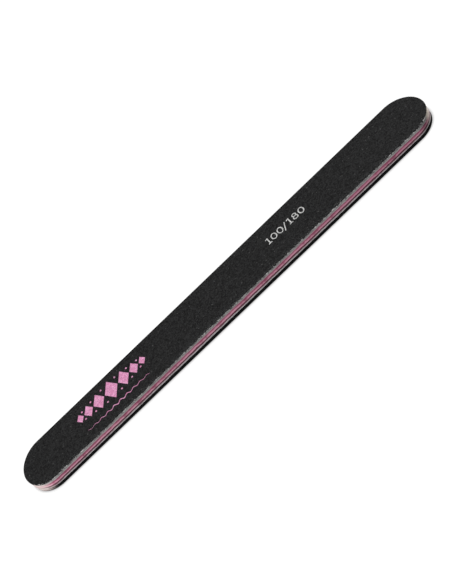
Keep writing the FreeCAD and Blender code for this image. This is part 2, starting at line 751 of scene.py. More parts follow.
def seen_ray(graph: Graph) -> Signal:
    """Tells rays that are seen from rays that light things.

    Args:
        graph: The graph that asks.

    Returns:
        1 for rays from the camera, off a reflection or through glass, and 0 for others.
    """
    camera = graph.node("ShaderNodeLightPath", output="Is Camera Ray")
    outputs = camera.socket.node.outputs
    glossy = Signal(graph, outputs["Is Glossy Ray"])
    transmitted = Signal(graph, outputs["Is Transmission Ray"])
    return (camera + glossy + transmitted).at_most(1.0)


@dataclass(frozen=True)
class Outline:
    """The full-round outline that the die cuts.

    Attributes:
        end_centre: Distance of each round end's centre from the middle of the board.
        reach: Half the width, which is the radius of the ends.
    """

    end_centre: float
    reach: float

    @classmethod
    def of_node(cls, node: str) -> "Outline":
        """Reads the outline off a CAD node.

        Args:
            node: Name of the node.

        Returns:
            Its outline.
        """
        low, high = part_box(node)
        reach = (high.y - low.y) / 2
        return cls((high.x - low.x) / 2 - reach, reach)

    def spine(self, place: Vector) -> Vector:
        """The nearest point of the line between the two end centres."""
        return Vector((max(-self.end_centre, min(self.end_centre, place.x)), 0.0, 0.0))

    def outward(self, place: Vector) -> Vector:
        """The direction from the spine out through a point."""
        return (Vector((place.x, place.y, 0.0)) - self.spine(place)).normalized()

    def torn(self, place: Vector) -> float:
        """How far the edge is torn: 1 along the near side, easing to 0 round the ends."""
        share = max(0.0, min(1.0, (-0.45 - self.outward(place).y) / 0.35))
        return share * share * (3 - 2 * share)

    def home(self, place: Vector) -> Vector:
        """The outline's own point nearest to a point inside it."""
        return self.spine(place) + self.outward(place) * self.reach

    def ring(self, mesh: bmesh.types.BMesh, spacing: float) -> list[bmesh.types.BMEdge]:
        """Makes a closed ring of edges along the outline.

        Args:
            mesh: The empty mesh that it goes into.
            spacing: Distance between points.

        Returns:
            The ring's edges.
        """
        turns = 2 * round(math.pi * self.reach / spacing)
        turned = Matrix.Rotation(math.pi / turns, 4, "Z")
        verts = bmesh.ops.create_circle(mesh, segments=turns, radius=self.reach, matrix=turned)["verts"]
        right = [vert for vert in verts if vert.co.x > 0]
        left = [vert for vert in verts if vert.co.x < 0]
        bmesh.ops.translate(mesh, verts=right, vec=(self.end_centre, 0, 0))
        bmesh.ops.translate(mesh, verts=left, vec=(-self.end_centre, 0, 0))
        sides = [edge for edge in mesh.edges if edge.calc_length() > self.end_centre]
        bmesh.ops.subdivide_edges(mesh, edges=sides, cuts=round(2 * self.end_centre / spacing))
        return list(mesh.edges)

    def sweep(self, mesh: bmesh.types.BMesh, spacing: float, rows: Sequence[Row]) -> None:
        """Draws a cut edge round the outline and closes it.

        Args:
            mesh: The empty mesh that it goes into.
            spacing: Distance between points along the outline.
            rows: For each row of points, a function from a point of the outline to its inset
                from the outline and its height.
        """
        edges = self.ring(mesh, spacing)
        first = edges
        self._set_row({vert for edge in edges for vert in edge.verts}, rows[0])
        for row in rows[1:]:
            grown = bmesh.ops.extrude_edge_only(mesh, edges=edges)["geom"]
            edges = [item for item in grown if isinstance(item, bmesh.types.BMEdge)]
            self._set_row({item for item in grown if isinstance(item, bmesh.types.BMVert)}, row)
        last = {vert for edge in edges for vert in edge.verts}
        if all((vert.co.xy - self.spine(vert.co).xy).length < 1e-6 for vert in last):
            bmesh.ops.remove_doubles(mesh, verts=list(last), dist=1e-6)
        else:
            bmesh.ops.edgeloop_fill(mesh, edges=edges)
        bmesh.ops.edgeloop_fill(mesh, edges=first)
        bmesh.ops.recalc_face_normals(mesh, faces=mesh.faces)

    def _set_row(self, verts: Iterable[bmesh.types.BMVert], row: Row) -> None:
        """Moves one ring of points to its inset and height.

        Args:
            verts: The ring's points.
            row: Gives the inset and the height at a point of the outline.
        """
        for vert in verts:
            home = self.home(vert.co)
            inset, height = row(home)
            place = home - self.outward(home) * inset
            vert.co = (place.x, place.y, height)


def finish_piece(
    name: str, mesh: bmesh.types.BMesh, material: bpy.types.Material, slot: str, smooth_deg: float | None
) -> bpy.types.Object:
    """Turns a bmesh into a piece that rides on the board.

    Args:
        name: Name of the piece.
        mesh: Its mesh, which is freed.
        material: Its material.
        slot: The record's material slot; not used.
        smooth_deg: Edges sharper than this stay sharp. None leaves every face flat.

    Returns:
        The piece.
    """
    data = bpy.data.meshes.new(name)
    for face in mesh.faces:
        face.smooth = smooth_deg is not None
    mesh.to_mesh(data)
    mesh.free()
    if smooth_deg is not None:
        data.set_sharp_from_angle(angle=math.radians(smooth_deg))
    data.materials.append(material)
    piece = bpy.data.objects.new(name, data)
    bpy.context.scene.collection.objects.link(piece)
    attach(piece, BODY)
    LOG.info("%s: %d faces", name, len(data.polygons))
    return piece


@dataclass
class Sheet:
    """One sheet of the board, drawn row by row round the cut edge.

    Attributes:
        node: The CAD node that the sheet stands for.
        slot: The record's material slot.
        finish: What the sheet is made of.
        outline: The outline of the whole board.
        spacing: Distance between points along the edge.
        seed: Makes the sheet's irregularities its own.
        smooth_deg: Edges sharper than this stay sharp.
    """

    node: str
    slot: str
    finish: Finish
    outline: Outline
    spacing: float = 0.20 * MM
    seed: float = 0.0
    smooth_deg: float = 50.0

    def heights(self) -> Span:
        """Heights of the sheet's lower and upper side, as the CAD node has them."""
        low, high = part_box(self.node)
        return low.z, high.z

    def rows(self) -> list[Row]:
        """The rows of points from the lower side round the cut edge to the upper side."""
        raise NotImplementedError

    def build(self) -> bpy.types.Object:
        """Builds the sheet and lets it stand for its CAD node.

        Returns:
            The finished piece.
        """
        mesh = bmesh.new()
        self.outline.sweep(mesh, self.spacing, self.rows())
        self.detail(mesh)
        piece = finish_piece(f"{self.node}_dressed", mesh, self.finish.make(), self.slot, self.smooth_deg)
        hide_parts(self.node)
        return piece

    def detail(self, mesh: bmesh.types.BMesh) -> None:
        """Hook for moves that come after the rows are drawn."""


@dataclass
class BackingPaper(Sheet):
    """Backing paper: a fibrous edge, with its upper corner rolled over or its cut left square.

    Attributes:
        fray: How far the fibres wander in and out.
        roll: Radius of the rolled upper corner, or 0 for a square cut.
        lean: How much further the foot of the cut stands out than its head.
    """

    fray: float = 0.05 * MM
    roll: float = 0.0
    lean: float = 0.0

    def rows(self) -> list[Row]:
        """Rows up the frayed cut, then a short way onto the upper side.

        Returns:
            The rows from the lower side to the upper side.
        """
        low, high = self.heights()
        thickness = high - low

        def cut(share: float) -> Row:
            """A row at this share of the thickness."""
            height = low + share * thickness
            over = max(0.0, self.roll - (high - height))
            rolled = self.roll - math.sqrt(max(0.0, self.roll**2 - over**2))

            def row(home: Vector) -> Span:
                """Inset and height at one point."""
                at = home + Vector((0, 0, 3.1 * height))
                wander = 0.6 * ripple(at, 1.1, self.seed) + 0.4 * ripple(at, 3.7, self.seed + 9)
                return rolled + self.lean * share - self.fray * wander, height

            return row

        def flat(inset: float) -> Row:
            """A row on the upper side."""
            return lambda home: (inset, high)

        shares = (0.0, 0.15, 0.3, 0.45, 0.6, 0.74, 0.87, 0.96, 1.0)
        beyond = self.roll + self.fray + 0.1 * MM
        return [cut(share) for share in shares] + [flat(beyond), flat(beyond + 0.5 * MM)]


@dataclass
class FoamPad(Sheet):
    """Foam pad: a dished edge with torn-open cells.

    Attributes:
        dish: How deep the edge is hollowed.
        pit: Depth of the larger open cells.
    """

    dish: float = 0.10 * MM
    pit: float = 0.09 * MM

    def rows(self) -> list[Row]:
        """Rows up the dished edge.

        Returns:
            The rows from the lower side to the upper side.
        """
        low, high = self.heights()

        def cut(share: float) -> Row:
            """A row at this share of the thickness."""
            height = low + share * (high - low)
            hollow = self.dish * (1 - (2 * share - 1) ** 2)
            loose = 1.0 if 0 < share < 1 else 0.25

            def row(home: Vector) -> Span:
                """Inset and height at one point."""
                at = home + Vector((0, 0, height))
                cells = max(0.0, ripple(at, 2.2, self.seed) - 0.1) + 0.4 * ripple(at, 4.1, self.seed + 5)
                return hollow + loose * self.pit * cells, height

            return row

        return [cut(share) for share in (0.0, 0.1, 0.22, 0.34, 0.46, 0.58, 0.7, 0.82, 0.92, 1.0)]

    def build(self) -> bpy.types.Object:
        """Returns:
            The finished piece.
        """
        piece = super().build()
        return piece


@dataclass
class PlasticCore(Sheet):
    """Plastic core: eased corners and upright shear marks.

    Attributes:
        ease: Radius of the two corners.
        shear: Depth of the shear marks.
    """

    ease: float = 0.22 * MM
    shear: float = 0.016 * MM

    def rows(self) -> list[Row]:
        """Rows up the cut edge, close together round each corner.

        Returns:
            The rows from the lower side to the upper side.
        """
        low, high = self.heights()

        def cut(height: float, corner: float) -> Row:
            """A row at a height, with the inset that the corner gives it."""

            def row(home: Vector) -> Span:
                """Inset and height at one point."""
                marks = 0.7 * ripple(home, 2.4, self.seed) + 0.3 * ripple(home, 5.5, self.seed + 4)
                wave = ripple(home, 0.25, self.seed + 8)
                return corner + self.shear * (marks + 0.8 * wave + 0.6), height

            return row

        turns = [math.radians(angle) for angle in (0, 22.5, 45, 67.5, 90)]
        corners = [(self.ease * (1 - math.sin(turn)), self.ease * (1 - math.cos(turn))) for turn in turns]
        lower = [(low + rise, inset) for rise, inset in reversed(corners)]
        upper = [(high - rise, inset) for rise, inset in corners]
        middle = [(low + (high - low) * share, 0.0) for share in (0.35, 0.5, 0.65)]
        return [cut(height, inset) for height, inset in (*lower, *middle, *upper)]


@dataclass
class GritCoat(Sheet):
    """Abrasive coat: a chipped rim and a working face covered in small facets.

    Attributes:
        facing: Which way the working face looks.
        margin: How far the rim stays back from the board's outline.
        chip: Depth of the chips along the rim.
        relief: Height between the deepest and the tallest facets.
        pitch: Distance between rows of facets.
    """

    facing: Facing = Facing.UP
    margin: float = 0.1 * MM
    chip: float = 0.3 * MM
    relief: float = 0.06 * MM
    pitch: float = 0.25 * MM

    def rim(self, home: Vector) -> float:
        """Works out how far the chipped rim stands back.

        Args:
            home: A point of the outline.

        Returns:
            The inset there.
        """
        broad = 0.25 + 0.3 * ripple(home, 0.35, self.seed)
        bites = max(0.0, ripple(home, 1.5, self.seed + 3))
        nicks = 0.4 * max(0.0, ripple(home, 3.3, self.seed + 5))
        return self.margin + self.chip * (broad + (bites + nicks)) * self.outline.torn(home)

    def rows(self) -> list[Row]:
        """Rows over the rim and in to the middle of the working face.

        Returns:
            The rows from the side on the paper to the middle of the face.
        """
        low, high = self.heights()
        base, face = (low, high) if self.facing is Facing.UP else (high, low)
        deep = face - base

        def edge(share: float, inset: float) -> Row:
            """A row on the rim."""
            return lambda home: (self.rim(home) + inset, base + share * deep)

        def inner(step: int, count: int) -> Row:
            """A row on the working face. The first rows still follow the chips."""
            even = self.outline.reach * step / count
            follow = max(0.0, 1 - step / 8)
            return lambda home: (even + follow * self.rim(home), face)

        count = round(self.outline.reach / self.pitch)
        rim = [edge(0.0, 0.0), edge(0.5, -0.01 * MM), edge(0.85, 0.01 * MM), edge(0.97, 0.03 * MM)]
        return rim + [inner(step, count) for step in range(1, count + 1)]

    def detail(self, mesh: bmesh.types.BMesh) -> None:
        """Roughens the working face and keeps its tallest points at the CAD face.

        Args:
            mesh: The mesh with its rows drawn.
        """
        low, high = self.heights()
        face = high if self.facing is Facing.UP else low
        inwards = -self.facing.value
        dice = random.Random(int(1000 * self.seed) + 17)
        sway = 0.3 * self.pitch
        for vert in mesh.verts:
            if abs(vert.co.z - face) > 1e-7:
                continue
            swell = 0.5 + 0.5 * ripple(vert.co, 0.8, self.seed + 6)
            vert.co.z += inwards * self.relief * (0.75 * dice.random() + 0.25 * swell)
            vert.co.x += sway * (2 * dice.random() - 1)
            vert.co.y += sway * (2 * dice.random() - 1)
        bmesh.ops.triangulate(mesh, faces=[face for face in mesh.faces if len(face.verts) == 4])


def in_batches(count: int, batch: int, add: Callable[[bmesh.types.BMesh, int], None]) -> bmesh.types.BMesh:
    """Makes many small shapes a batch at a time, because operators slow down in a large mesh.

    Args:
        count: Number of shapes.
        batch: Number of shapes in one batch.
        add: Adds the shape with this number to a mesh.

    Returns:
        The mesh of all the shapes.
    """
    whole = bmesh.new()
    for start in range(0, count, batch):
        part = bmesh.new()
        for number in range(start, min(start + batch, count)):
            add(part, number)
        data = bpy.data.meshes.new("batch")
        part.to_mesh(data)
        part.free()
        whole.from_mesh(data)
        bpy.data.meshes.remove(data)
    return whole


def uneven(size: float, shares: Sequence[Span], dice: random.Random) -> Triple:
    """Random half sizes: the size times a random share from each pair of limits."""
    return tuple(size * dice.uniform(*limits) for limits in shares)


@dataclass
class Scatter:
    """A scatter of small faceted shapes, made a batch at a time.

    Attributes:
        name: Name of the piece.
        slot: The record's material slot.
        finish: What the shapes are made of.
        batch: Number of shapes in one batch.
    """

    name: str
    slot: str
    finish: Finish
    batch: int = 150

    def build(self, places: Sequence[Matrix]) -> bpy.types.Object:
        """Makes one shape at each place.

        Args:
            places: Place, turn and size of each shape.

        Returns:
            The finished piece.
        """

        def add(part: bmesh.types.BMesh, number: int) -> None:
            """Adds one shape."""
            self.shape(part, places[number], number)

        whole = in_batches(len(places), self.batch, add)
        bmesh.ops.recalc_face_normals(whole, faces=whole.faces)
        return finish_piece(self.name, whole, self.finish.make(), self.slot, None)

    def shape(self, mesh: bmesh.types.BMesh, place: Matrix, number: int) -> None:
        """Adds one shape: a rounded chip, or a grain with a blunt point.

        Args:
            mesh: The mesh that it goes into.
            place: Its place, turn and size.
            number: Its number. Every third shape is pointed.
        """
        if number % 3:
            bmesh.ops.create_icosphere(mesh, subdivisions=1, radius=1.0, matrix=place)
        else:
            bmesh.ops.create_cone(
                mesh, cap_ends=True, segments=5, radius1=1.0, radius2=0.4, depth=1.5, matrix=place
            )


def tumbled(place: Vector, size: Triple, dice: random.Random, tilt: float = math.pi) -> Matrix:
    """A place with a random turn.

    Args:
        place: Where the shape goes.
        size: Its half sizes.
        dice: The seeded random numbers.
        tilt: Largest lean away from upright.

    Returns:
        The matrix of place, turn and size.
    """
    turn = Euler((dice.uniform(-tilt, tilt), dice.uniform(-tilt, tilt), dice.uniform(0, 2 * math.pi)))
    return Matrix.LocRotScale(place, turn, Vector(size))


@dataclass
class LooseGrains:
    """Single larger grains that stand out of a grit coat.

    Attributes:
        coat: The grit coat that they sit in.
        surface: Its face, for finding heights.
        count: Number of grains.
        radius: Smallest and largest half size.
        finish: What the grains are made of.
        clear: How far the grains stay from the rim.
        shares: Least and greatest half sizes, as shares of the grain's size.
    """

    coat: GritCoat
    surface: "Surface"
    count: int
    radius: Span
    finish: Finish
    clear: float = 0.1 * MM
    shares: tuple[Span, Span, Span] = ((0.7, 1.2), (0.6, 1.0), (0.6, 1.0))

    def build(self) -> bpy.types.Object:
        """Scatters the grains over the working face.

        Returns:
            The finished piece.
        """
        dice = random.Random(self.count)
        outline = self.coat.outline
        sign = self.coat.facing.value
        low, high = self.coat.heights()
        limit = high if self.coat.facing is Facing.UP else low
        places = []
        while len(places) < self.count:
            along = dice.uniform(-1, 1) * (outline.end_centre + outline.reach)
            spot = Vector((along, dice.uniform(-1, 1) * outline.reach, 0.0))
            away = (spot.xy - outline.spine(spot).xy).length
            if away > outline.reach - self.coat.rim(outline.home(spot)) - self.clear:
                continue
            size = dice.uniform(*self.radius)
            half = uneven(size, self.shares, dice)
            height = self.surface.height(spot.x, spot.y)
            spot.z = sign * min(sign * height + 0.2 * size, sign * limit - 1.05 * max(half))
            places.append(tumbled(spot, half, dice))
        name = f"{self.coat.node}_grains"
        return Scatter(name, self.coat.slot, self.finish).build(places)


class Surface:
    """The working face of a finished piece, for laying things on it."""

    def __init__(self, piece: bpy.types.Object, facing: Facing) -> None:
        """Keeps a search tree of the piece's mesh.

        Args:
            piece: The finished piece.
            facing: Which way its working face looks.
        """
        mesh = bmesh.new()
        mesh.from_mesh(piece.data)
        self.tree = BVHTree.FromBMesh(mesh)
        mesh.free()
        self.facing = facing

    def height(self, x: float, y: float) -> float:
        """Finds the face at a point by a ray from well outside.

        Args:
            x: The point's place along the board.
            y: Its place across the board.

        Returns:
            The height of the face there.
        """
        sign = self.facing.value
        outside = Vector((x, y, sign * 50 * MM))
        hit, _, _, _ = self.tree.ray_cast(outside, Vector((0, 0, -sign)))
        return hit.z if hit else 0.0


@dataclass
class TornLip:
    """Flakes and fibres that stand out along the upper edge of the fine paper.

    Attributes:
        outline: The outline of the whole board.
        low: Lowest height of a flake.
        high: Highest height of a flake.
        flakes: Number of flakes.
        fibres: Number of fibres.
        flake_finish: What the flakes are made of.
        fibre_finish: What the fibres are made of.
        slot: The record's material slot.
        flake_shares: Least and greatest half sizes of a flake, as shares of its size.
        fibre_batch: Number of fibres in one batch.
        flake_inset_mm: Least, greatest and commonest distance of a flake from the outline.
        flake_size_mm: The same for a flake's size.
        fibre_inset_mm: Least and greatest distance of a fibre's root from the outline.
        fibre_step_mm: Least and greatest length of one of a fibre's three steps.
        fibre_width_mm: Least and greatest radius of a fibre.
    """

    outline: Outline
    low: float
    high: float
    flakes: int
    fibres: int
    flake_finish: Finish
    fibre_finish: Finish
    slot: str = "fine_paper"
    flake_shares: tuple[Span, Span, Span] = ((0.9, 1.5), (0.6, 1.0), (0.25, 0.5))
    fibre_batch: int = 100
    flake_inset_mm: Triple = (0.0, 0.55, 0.12)
    flake_size_mm: Triple = (0.06, 0.26, 0.1)
    fibre_inset_mm: Span = (0.04, 0.22)
    fibre_step_mm: Span = (0.07, 0.16)
    fibre_width_mm: Span = (0.014, 0.03)

    def edge_point(self, dice: random.Random, inset: float, height: float) -> Vector:
        """Picks a random point along the edge, with every stretch of it as likely.

        Args:
            dice: The seeded random numbers.
            inset: Distance of the point from the outline.
            height: Its height.

        Returns:
            The point.
        """
        straight = 2 * self.outline.end_centre
        turn = math.pi * self.outline.reach
        run = dice.uniform(0, 2 * (straight + turn))
        reach = self.outline.reach - inset
        side = 1 if run < straight + turn else -1
        run = run % (straight + turn)
        if run < straight:
            return Vector((side * (run - straight / 2), -side * reach, height))
        angle = (run - straight) / self.outline.reach - math.pi / 2
        x = self.outline.end_centre + reach * math.cos(angle)
        return Vector((side * x, side * reach * math.sin(angle), height))

    def build(self) -> list[bpy.types.Object]:
        """Builds the flakes and the fibres."""
        return [self._build_flakes(), self._build_fibres()]

    def _build_flakes(self) -> bpy.types.Object:
        """Builds small torn flakes, flat in the sheet and longer along the edge.

        Returns:
            The finished piece.
        """
        dice = random.Random(41)
        places = []
        while len(places) < self.flakes:
            inset = dice.triangular(*self.flake_inset_mm) * MM
            spot = self.edge_point(dice, inset, dice.uniform(self.low, self.high))
            clustered = ripple(spot, 0.55, 31.0) > dice.uniform(-0.25, 0.45)
            if not clustered or dice.random() > self.outline.torn(spot) ** 2:
                continue
            along = self.outline.outward(spot).cross(Vector((0, 0, 1)))
            size = dice.triangular(*self.flake_size_mm) * MM
            half = uneven(size, self.flake_shares, dice)
            heading = math.atan2(along.y, along.x) + dice.uniform(-0.6, 0.6)
            turn = Euler((dice.uniform(-0.5, 0.5), dice.uniform(-0.5, 0.5), heading))
            places.append(Matrix.LocRotScale(spot, turn, Vector(half)))
        return Scatter("torn_flakes", self.slot, self.flake_finish).build(places)

    def _build_fibres(self) -> bpy.types.Object:
        """Builds thin bent fibres that stick out of the torn edge.

        Returns:
            The finished piece.
        """
        dice = random.Random(59)

        def add(part: bmesh.types.BMesh, number: int) -> None:
            """Adds one fibre."""
            self._fibre(part, dice)

        whole = in_batches(self.fibres, self.fibre_batch, add)
        return finish_piece("paper_fibres", whole, self.fibre_finish.make(), self.slot, 80.0)

    def _fibre(self, mesh: bmesh.types.BMesh, dice: random.Random) -> None:
        """Adds one fibre: a three-sided tube that tapers as it bends out of the edge.

        Args:
            mesh: The mesh that it goes into.
            dice: The seeded random numbers.
        """
        inset = dice.uniform(*self.fibre_inset_mm) * MM
        root = self.edge_point(dice, inset, dice.uniform(self.low, self.high))
        outward = self.outline.outward(root)
        along = outward.cross(Vector((0, 0, 1))) * dice.choice((-1, 1))
        lean = outward * dice.uniform(0.1, 0.7)
        lift = Vector((0, 0, dice.uniform(-0.2, 0.25)))
        heading = (lean + along + lift).normalized()
        step = dice.uniform(*self.fibre_step_mm) * MM
        width = dice.uniform(*self.fibre_width_mm) * MM
        turned = heading.to_track_quat("Z", "Y").to_matrix().to_4x4()
        at = Matrix.Translation(root) @ turned
        ring = bmesh.ops.create_circle(mesh, cap_ends=True, segments=3, radius=width, matrix=at)["verts"]
        edges = list({edge for vert in ring for edge in vert.link_edges})
        bend = outward * dice.uniform(-0.5, 0.2) + Vector((0, 0, dice.uniform(-0.35, 0.25)))
        for _ in range(3):
            heading = (heading + 0.6 * bend).normalized()
            grown = bmesh.ops.extrude_edge_only(mesh, edges=edges)["geom"]
            verts = [item for item in grown if isinstance(item, bmesh.types.BMVert)]
            edges = [item for item in grown if isinstance(item, bmesh.types.BMEdge)]
            bmesh.ops.translate(mesh, verts=verts, vec=heading * step)
            middle = sum((vert.co for vert in verts), Vector()) / len(verts)
            bmesh.ops.scale(mesh, verts=verts, vec=(0.78, 0.78, 0.78), space=Matrix.Translation(-middle))
        bmesh.ops.edgeloop_fill(mesh, edges=edges)


@dataclass
class Print:
    """Ink shapes laid over the grains of the fine face.

    Attributes:
        name: Name of the piece.
        surface: The face that they lie on.
        finish: The ink.
        film: Thickness of the ink.
        lift: Height of the ink over the grains.
        overlap: Extra height from one shape to the next, so that shapes that cross stay apart.
        slot: The record's material slot.
        mesh: The mesh that the shapes go into.
        shapes: Number of shapes drawn so far.
    """

    name: str
    surface: Surface
    finish: InkFinish
    film: float = 0.03 * MM
    lift: float = 0.014 * MM
    overlap: float = 0.004 * MM
    slot: str = "fine_grit"
    mesh: bmesh.types.BMesh = field(default_factory=bmesh.new)
    shapes: int = 0

    def build(self) -> bpy.types.Object:
        """Draws the shapes, lays them on the grains and gives them thickness.

        Returns:
            The finished piece.
        """
        self.draw()
        bmesh.ops.recalc_face_normals(self.mesh, faces=self.mesh.faces)
        for face in self.mesh.faces:
            if face.normal.z < 0:
                face.normal_flip()
        bmesh.ops.solidify(self.mesh, geom=list(self.mesh.faces), thickness=self.film)
        bmesh.ops.recalc_face_normals(self.mesh, faces=self.mesh.faces)
        return finish_piece(self.name, self.mesh, self.finish.make(), self.slot, 60.0)

    def draw(self) -> None:
        """Draws the shapes of this print."""
        raise NotImplementedError

    def lay(self, verts: Iterable[bmesh.types.BMVert], cuts: int) -> None:
        """Divides a flat shape finely and lowers it onto the grains.

        Args:
            verts: The shape's points, at their places along and across the board.
            cuts: Cuts across each edge before it is laid down.
        """
        others = set(self.mesh.verts) - set(verts)
        if cuts:
            edges = list({edge for vert in verts for edge in vert.link_edges})
            bmesh.ops.subdivide_edges(self.mesh, edges=edges, cuts=cuts, use_grid_fill=True)
        whole = [vert for vert in self.mesh.verts if vert not in others]
        faces = list({face for vert in whole for face in vert.link_faces})
        bmesh.ops.triangulate(self.mesh, faces=faces)
        lift = self.lift + self.overlap * (self.shapes % 4)
        for vert in whole:
            vert.co.z = self.surface.height(vert.co.x, vert.co.y) + lift
        self.shapes += 1

    def band(self, centre: Vector, half: Vector, stroke: Vector) -> None:
        """Draws an oval ring.

        Args:
            centre: Its middle.
            half: Its half width and half height, outside.
            stroke: Width of the stroke at the sides, and at the top and bottom.
        """
        at = Matrix.LocRotScale(centre, None, Vector((half.x, half.y, 1)))
        ring = bmesh.ops.create_circle(self.mesh, segments=44, radius=1.0, matrix=at)["verts"]
        edges = list({edge for vert in ring for edge in vert.link_edges})
        grown = bmesh.ops.extrude_edge_only(self.mesh, edges=edges)["geom"]
        inner = [item for item in grown if isinstance(item, bmesh.types.BMVert)]
        ratio = ((half.x - stroke.x) / half.x, (half.y - stroke.y) / half.y, 1)
        bmesh.ops.scale(self.mesh, verts=inner, vec=ratio, space=Matrix.Translation(-centre))
        self.lay([*ring, *inner], 3)

    def bar(self, start: Vector, end: Vector, width: float) -> None:
        """Draws a straight bar.

        Args:
            start: Middle of its one end.
            end: Middle of its other end.
            width: Its width.
        """
        run = end - start
        pieces = max(2, round(run.length / (0.16 * MM)))
        turn = Matrix.Rotation(math.atan2(run.y, run.x), 4, "Z")
        at = Matrix.Translation((start + end) / 2) @ turn @ Matrix.Diagonal((run.length, width, 1, 1))
        grid = bmesh.ops.create_grid(self.mesh, x_segments=pieces, y_segments=4, size=0.5, matrix=at)
        self.lay(grid["verts"], 0)

    def lozenge(self, centre: Vector, half: Vector) -> None:
        """Draws a filled lozenge.

        Args:
            centre: Its middle.
            half: Its half width and half height.
        """
        pieces = max(4, round(2 * half.y / (0.2 * MM)))
        turned = Matrix.Rotation(math.pi / 4, 4, "Z")
        at = Matrix.LocRotScale(centre, None, Vector((half.x, half.y, 1))) @ turned
        grid = bmesh.ops.create_grid(
            self.mesh, x_segments=pieces, y_segments=pieces, size=math.sqrt(0.5), matrix=at
        )
        self.lay(grid["verts"], 0)

    def dot(self, centre: Vector, radius: float) -> None:
        """Draws a filled round dot."""
        at = Matrix.Translation(centre)
        disc = bmesh.ops.create_circle(
            self.mesh, cap_ends=True, cap_tris=True, segments=18, radius=radius, matrix=at
        )
        self.lay(disc["verts"], 2)


def spot_mm(x: float, y: float) -> Vector:
    """A point of the fine face from its place along and across the board in millimetres."""
    return Vector((x * MM, y * MM, 0.0))


@dataclass
class GritNumbers(Print):
    """The two grit numbers with a slash between them, in light slab figures.

    Attributes:
        base: Height of the figures' feet across the board, in millimetres.
        top: Height of their heads.
        side: Width of an upright stroke.
        thin: Width of a level stroke.
        slant: Width of a slanting stroke.
        places: Middles of the figures and of the slash along the board.
    """

    base: float = -0.16
    top: float = 2.84
    side: float = 0.42
    thin: float = 0.32
    slant: float = 0.34
    places: tuple[float, ...] = (21.74, 24.1, 26.8, 28.8, 31.16, 33.5, 36.24)

    def draw(self) -> None:
        """Draws one hundred, a slash, and one hundred and eighty."""
        one, nought, slash, eight = self._one, self._nought, self._slash, self._eight
        for figure, place in zip((one, nought, nought, slash, one, eight, nought), self.places):
            figure(place)

    def _slash(self, x: float) -> None:
        """Draws a slash that reaches below the figures, at this place along the board."""
        self.bar(spot_mm(x - 0.74, self.base - 0.6), spot_mm(x + 0.74, self.top - 0.08), self.slant * MM)

    def _nought(self, x: float) -> None:
        """Draws a round nought with its middle at this place along the board."""
        middle = (self.base + self.top) / 2
        half = Vector((1.16 * MM, (self.top - self.base) / 2 * MM, 0))
        self.band(spot_mm(x, middle), half, Vector((self.side * MM, self.thin * MM, 0)))

    def _one(self, x: float) -> None:
        """Draws a one with a flag and a foot, with its stem at this place along the board."""
        foot = self.base + self.thin / 2
        self.bar(spot_mm(x, self.base + self.thin), spot_mm(x, self.top), self.side * MM)
        self.bar(spot_mm(x - 0.74, foot), spot_mm(x + 0.74, foot), self.thin * MM)
        self.bar(spot_mm(x - 0.8, self.top - 0.42), spot_mm(x - 0.15, self.top - 0.18), self.slant * MM)

    def _eight(self, x: float) -> None:
        """Draws an eight of two rings, the lower one larger, at this place along the board."""
        waist = self.base + 0.54 * (self.top - self.base)
        lap = self.thin / 2
        for low, high, wide in ((self.base, waist + lap, 1.08), (waist - lap, self.top, 0.94)):
            half = Vector((wide * MM, (high - low) / 2 * MM, 0))
            self.band(spot_mm(x, (low + high) / 2), half, Vector((0.4 * MM, self.thin * MM, 0)))


@dataclass
class PinkOrnament(Print):
    """A plain printed ornament: a row of lozenges in graded sizes, over a thin wavy rule.

    Attributes:
        middle: Middle of the row along the board, in millimetres.
        height: Middle of the row across the board.
        rule: Height of the wavy rule across the board.
        steps: Distance from the middle, half width and half height of each size of lozenge.
        notches: Distance of each pair of dots along the row and away from it.
        dot_radius: Radius of a dot.
        rule_half: Half the length of the rule.
        rule_thin: Half the width of the rule.
        swing: How far the rule swings to each side.
        half_waves: Number of half waves on each side of the middle.
    """

    middle: float = -49.0
    height: float = 2.3
    rule: float = -4.7
    steps: tuple[Triple, ...] = ((0.0, 2.8, 4.5), (5.6, 2.35, 3.7), (10.2, 1.9, 2.8), (13.9, 1.4, 1.95))
    notches: tuple[Span, ...] = ((3.15, 3.3), (8.1, 2.6), (12.35, 1.9))
    dot_radius: float = 0.34
    rule_half: float = 13.6
    rule_thin: float = 0.17
    swing: float = 0.42
    half_waves: float = 9.5

    def draw(self) -> None:
        """Draws the lozenges, the dots in the notches between them, and the rule."""
        for side in (-1, 1):
            for away, wide, tall in self.steps:
                if away or side > 0:
                    centre = spot_mm(self.middle + side * away, self.height)
                    self.lozenge(centre, spot_mm(wide, tall))
            for away, up in self.notches:
                for flip in (-1, 1):
                    centre = spot_mm(self.middle + side * away, self.height + flip * up)
                    self.dot(centre, self.dot_radius * MM)
        self._wave()

    def _wave(self) -> None:
        """Draws a thin rule that waves and thins towards its ends."""
        half = self.rule_half * MM
        size = Matrix.Diagonal((half, self.rule_thin * MM, 1, 1))
        at = Matrix.Translation(spot_mm(self.middle, self.rule)) @ size
        grid = bmesh.ops.create_grid(self.mesh, x_segments=170, y_segments=2, size=1.0, matrix=at)["verts"]
        for vert in grid:
            share = (vert.co.x - self.middle * MM) / half
            across = vert.co.y - self.rule * MM
            swing = self.swing * MM * math.sin(self.half_waves * math.pi * share)
            vert.co.y = self.rule * MM + across * (1.15 - abs(share)) + swing * (1 - 0.5 * abs(share))
        self.lay(grid, 0)


